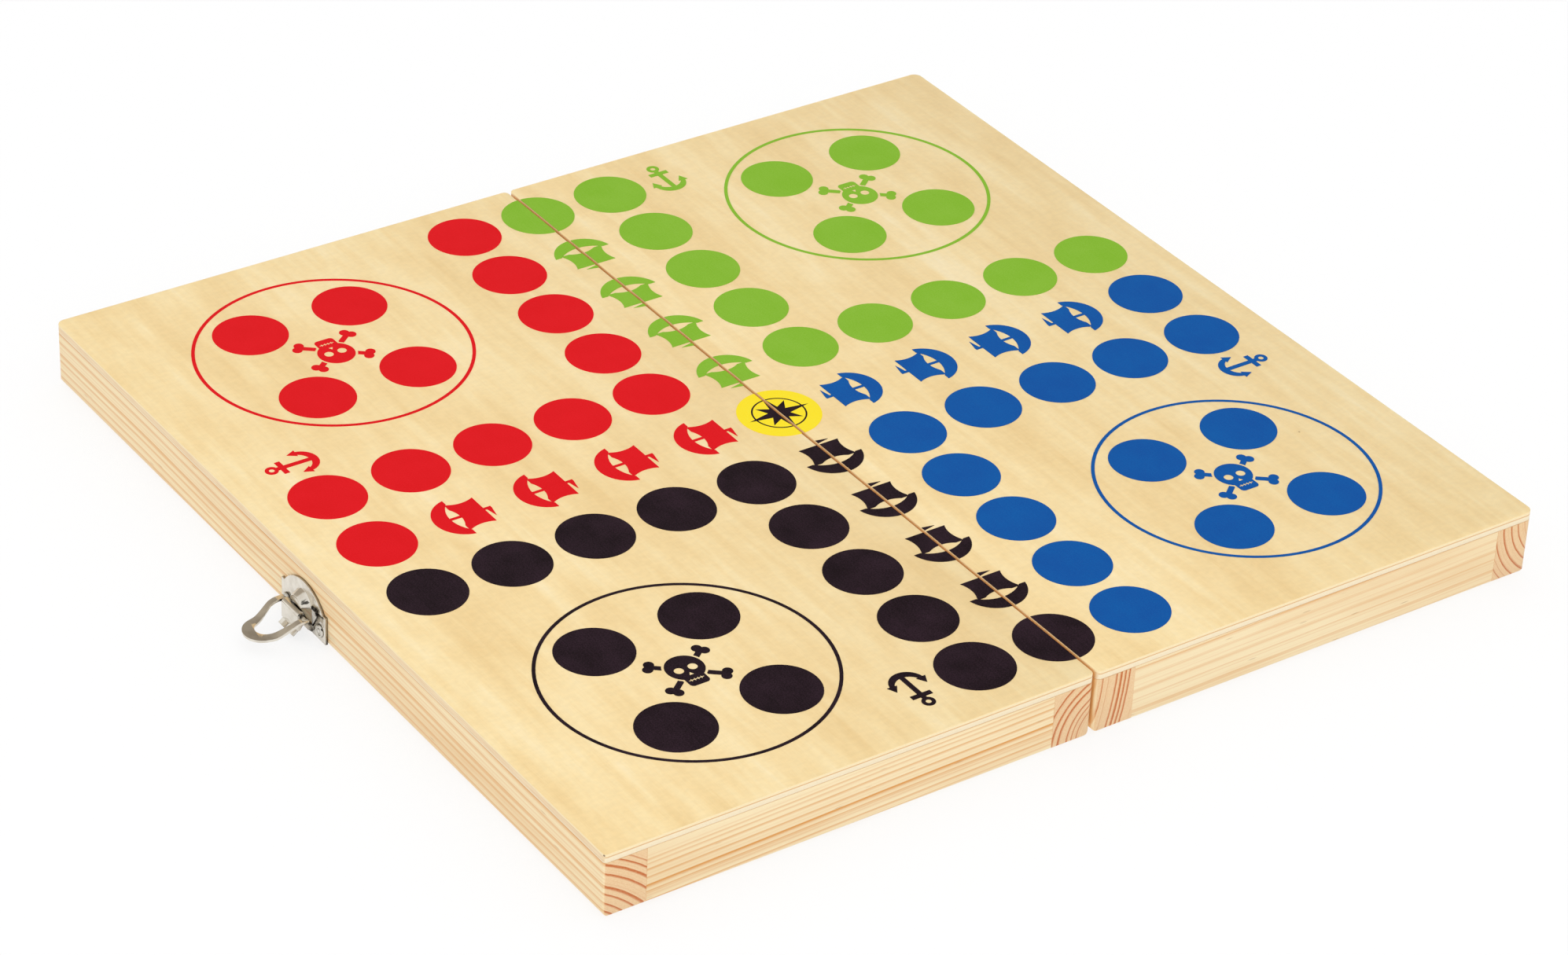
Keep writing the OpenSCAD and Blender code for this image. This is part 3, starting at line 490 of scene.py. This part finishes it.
left_chip_mm = (LEFT_MM + 0.35, FRONT_MM + 0.6, TOP_MM - 0.45)
right_chip_mm = (RIGHT_MM - 0.6, BACK_MM - 0.4, TOP_MM - 0.5)
plywood_left = lacquered_plywood("lacquered_plywood_left", start=1.7, chip_mm=left_chip_mm)
plywood_right = lacquered_plywood("lacquered_plywood_right", start=8.3, chip_mm=right_chip_mm)
eased_copy("left_panel", plywood_left, PANEL_EDGE)
eased_copy("right_panel", plywood_right, PANEL_EDGE)

# Battens, all in millimetres: the axis each runs along, where its pith lies beside it (across, up), how the pith
# climbs, the contrast of its lines, and the radius of each ring with its force

PINE = {
    "left_batten_outer": ("Y", (LEFT_MM - 19, RIM_MM - 26), 0.0, 0.62, (
        (33.9, 0.9), (35.9, 0.8), (37.2, 0.3), (38.3, 0.8), (40.4, 1.0), (42.2, 0.35), (43.8, 0.9), (46.4, 1.0),
        (48.4, 0.8), (49.9, 0.6))),
    "left_batten_spine": ("Y", (SEAM_MM - HALF_GAP_MM - BATTEN_MM + 19.1, RIM_MM - 1.3), 0.0, 0.8, (
        (9.6, 0.4), (11.4, 0.7), (13.0, 0.7), (14.6, 0.8), (16.0, 0.3), (17.5, 1.0), (19.5, 0.9), (22.1, 0.9),
        (25.2, 0.3))),
    "right_batten_spine": ("Y", (SEAM_MM + HALF_GAP_MM - 79, RIM_MM + 20.7), 0.0, 0.8, (
        (79.4, 0.3), (81.2, 0.7), (83.0, 0.5), (84.4, 0.3), (85.8, 0.8), (87.4, 1.0), (88.8, 0.9),
        (90.1, 0.8))),
    "right_batten_outer": ("Y", (RIGHT_MM - BATTEN_MM + 23.5, RIM_MM + 17.9), 0.0, 0.8, (
        (14.2, 0.5), (16.6, 0.7), (18.9, 0.75), (21.7, 0.8), (24.4, 0.75), (26.0, 0.5), (27.5, 0.65),
        (29.4, 0.4))),
    "left_batten_front": ("X", (FRONT_MM + 8, RIM_MM - 70), -0.024, 1.0, (
        (70.2, 0.7), (72.1, 0.4), (73.8, 0.6), (75.3, 0.35), (76.6, 0.6), (78.5, 1.0), (80.9, 0.6), (83.3, 0.6),
        (85.0, 0.45), (86.4, 0.45))),
    "right_batten_front": ("X", (FRONT_MM + 8, RIM_MM - 60), -0.012, 0.65, (
        (56.0, 0.5), (59.5, 0.3), (62.6, 0.6), (66.0, 0.4), (68.6, 0.6), (72.3, 0.45), (75.6, 0.7),
        (78.6, 0.4))),
    # the two at the back have even rings, whose force goes round five steps
    "left_batten_back": ("X", (BACK_MM + 12, RIM_MM - 40), 0.01, 0.9, tuple(
        (41.5 + 2.1 * i, 0.4 + 0.15 * (i * 3 % 5)) for i in range(10))),
    "right_batten_back": ("X", (BACK_MM - 25, RIM_MM + 60), -0.01, 0.9, tuple(
        (39.0 + 2.7 * i, 0.4 + 0.15 * (i * 2 % 5)) for i in range(10))),
}
NOISE_STEP = 0.37       # from one batten's place in the noises to the next
for i, (node, (along, pith_mm, lean, contrast, rings)) in enumerate(PINE.items()):
    made = clear_lacquered_pine("lacquered_pine_" + node, along, pith_mm, rings, lean, contrast, NOISE_STEP * i)
    eased_copy(node, made, BATTEN_EDGE)

# Print: each ink's full colour, its colour where the film is thin, and its shine

INKS = {
    "red": screen_print_ink("red_screen_ink", "#DE000E", "#E4101C", 0.06),
    "black": screen_print_ink("black_screen_ink", "#160A11", "#31202B", 0.08),
    "blue": screen_print_ink("blue_screen_ink", "#0050A0", "#055CA8", 0.06),
    "green": screen_print_ink("green_screen_ink", "#82B824", "#8CBE38", 0.12),
    "yellow": screen_print_ink("yellow_screen_ink", "#FFE300", "#FCE62B", 0.15),
}
for node in nodes:
    if "_print_" in node:
        dress(node, INKS[node.split("_")[-1]])

# Metal

nickel = plated_steel("bright_nickel_on_pressed_steel", "#E2DCD0", "#D2CABC", low=0.1, high=0.17, lines_mm=0.25)
zinc = plated_steel("bright_zinc_on_wire", "#D6D1C6", "#B9B3A6", low=0.12, high=0.24, lines_mm=0.2)
hinge_steel = plated_steel("dull_nickel_on_rolled_steel", "#C4BFB4", "#A39C90", low=0.24, high=0.4, lines_mm=0.3,
                           beside_others=False)
for node in ("latch_plate", "latch_lever", "latch_loop", "catch_plate"):
    eased_copy(node, nickel, NICKEL_EDGE, segments=3)
for node in ("latch_nails", "catch_nails", "lever_pin", "hinge_screws_left", "hinge_screws_right"):
    eased_copy(node, zinc, WIRE_EDGE)
for node in nodes:
    if node.startswith(("hinge_leaf", "hinge_pin")):
        eased_copy(node, hinge_steel, HINGE_EDGE)

# Floor and light

WHITE = "#FFFFFF"
HALF_TABLE = 3.0        # in metres
MATT_SHARE = 0.2        # of the table's surface, and the rest is clear


def tabletop():
    """A flat square: corners at plus and minus half its side, at height zero.

    It is partly matt white and partly clear, so it takes a soft shadow and otherwise vanishes into the white.
    """
    corners = HALF_TABLE * np.array([[-1, -1, 0], [1, -1, 0], [1, 1, 0], [-1, 1, 0]], float)
    mesh = bpy.data.meshes.new("pale_tabletop")
    mesh.from_pydata(corners.tolist(), [], [(0, 1, 2, 3)])
    floor = bpy.data.objects.new("pale_tabletop", mesh)
    bpy.context.scene.collection.objects.link(floor)
    made, t = material("pale_tabletop")
    matt = add(t, "BsdfDiffuse", {"Color": linear(WHITE)})[0]
    clear = add(t, "BsdfTransparent")[0]
    add(t, "OutputMaterial", {"Surface": add(t, "MixShader", {0: MATT_SHARE, 1: clear, 2: matt})[0]})
    mesh.materials.append(made)


def sky():
    """White to the camera and in reflections, and to matt surfaces a soft white, a little dimmer low down."""
    world = bpy.data.worlds.new("studio")
    bpy.context.scene.world = world
    world.use_nodes = True
    t = world.node_tree
    t.nodes.clear()
    up = add(t, "SeparateXYZ", {0: add(t, "TexCoord")["Generated"]})["Z"]
    lamp = add(t, "MapRange", {0: up, LOW_IN: -0.3, HIGH_IN: 0.4, LOW_OUT: 0.82, HIGH_OUT: 0.93})[0]
    ray = add(t, "LightPath")
    seen = add(t, "Math", {0: ray["Is Camera Ray"], 1: ray["Is Glossy Ray"]}, operation="MAXIMUM")[0]
    seen = add(t, "Math", {0: seen, 1: ray["Is Transmission Ray"]}, operation="MAXIMUM")[0]
    light = add(t, "Background", {"Color": lamp, "Strength": 1.0})[0]
    plain = add(t, "Background", {"Color": linear(WHITE), "Strength": 1.0})[0]
    add(t, "OutputWorld", {"Surface": add(t, "MixShader", {0: seen, 1: light, 2: plain})[0]})


def softbox(name, at, towards, size, watts):
    """A square area lamp at a point, facing another."""
    lamp = bpy.data.lights.new(name, "AREA")
    lamp.size = size
    lamp.energy = watts
    holder = bpy.data.objects.new(name, lamp)
    bpy.context.scene.collection.objects.link(holder)
    holder.location = at
    holder.rotation_euler = (Vector(towards) - Vector(at)).to_track_quat("-Z", "Y").to_euler()


def card(name, towards, distance, width, height, left_colour, right_colour):
    """A card that only reflections see: a flat rectangle, square to the line from the board, shaded across.

    Its corners are the far point of that line, plus and minus half the width along a level line and half the height
    along the line square to both. It stands for the dim side of a studio, which bright metal and ink need for depth.
    """
    out = Vector(towards).normalized()
    level = Vector((-out.y, out.x, 0)).normalized() * -1
    steep = level.cross(out)
    centre = out * distance
    corners = [centre + level * a * width / 2 + steep * b * height / 2
               for a, b in ((-1, -1), (1, -1), (1, 1), (-1, 1))]
    mesh = bpy.data.meshes.new(name)
    mesh.from_pydata([list(corner) for corner in corners], [], [(0, 1, 2, 3)])
    panel = bpy.data.objects.new(name, mesh)
    bpy.context.scene.collection.objects.link(panel)
    made, t = material(name)
    along = add(t, "VectorMath", {0: add(t, "TexCoord")["Object"], 1: tuple(level)},
                operation="DOT_PRODUCT")["Value"]
    shade = add(t, "MapRange", {0: along, LOW_IN: -width / 2, HIGH_IN: width / 2})[0]
    shade = add(t, "ValToRGB", {0: shade}, stops=[(0.0, left_colour), (1.0, right_colour)])[0]
    add(t, "OutputMaterial", {"Surface": add(t, "Emission", {"Color": shade, "Strength": 1.0})[0]})
    mesh.materials.append(made)
    for ray in ("camera", "diffuse", "transmission", "volume_scatter", "shadow"):
        setattr(panel, "visible_" + ray, False)


tabletop()
sky()
card("dim_card_behind", towards=(0.2, 0.78, 0.64), distance=1.4, width=3.2, height=1.7,
     left_colour="#CFC6B8", right_colour="#655C53")
card("dark_card_in_front", towards=(-0.394, -0.724, 0.565), distance=1.6, width=1.2, height=1.2,
     left_colour="#1E1C1A", right_colour="#1E1C1A")
softbox("key_softbox", at=(-1.7, -2.8, 2.1), towards=(0, 0, 0), size=1.9, watts=26)

# Camera: where it stands from the middle of the printed face, how far it looks down and round, and its tilt

CAMERA_FROM_FACE_MM = (-667.8, -936.4, 719.2)
LOOKS_DOWN_DEG, LOOKS_ROUND_DEG, TILT_DEG = 32.759, 35.584, 2.286
FOCAL_PIXELS, PHOTO_PIXELS = 6201.5, 1994
SENSOR_MM = 36

view_at = Vector((SEAM_X, 0, TOP_Z)) + Vector(CAMERA_FROM_FACE_MM) * MM
down, turn = math.radians(LOOKS_DOWN_DEG), math.radians(LOOKS_ROUND_DEG)
roll = math.asin(math.sin(math.radians(TILT_DEG)) / math.cos(down))
ahead = Vector((math.sin(turn) * math.cos(down), math.cos(turn) * math.cos(down), -math.sin(down)))
level = Vector((math.cos(turn), -math.sin(turn), 0))
up = level.cross(ahead)
right = math.cos(roll) * level + math.sin(roll) * up
up = right.cross(ahead)
lens = bpy.data.cameras.new("camera")
lens.sensor_width = SENSOR_MM
lens.lens = FOCAL_PIXELS / PHOTO_PIXELS * SENSOR_MM
lens.clip_start = 0.01
lens.clip_end = 20
camera = bpy.data.objects.new("camera", lens)
bpy.context.scene.collection.objects.link(camera)
camera.matrix_world = Matrix.Translation(view_at) @ Matrix((right, up, -ahead)).transposed().to_4x4()
bpy.context.scene.camera = camera
bpy.context.scene.view_settings.view_transform = "Standard"
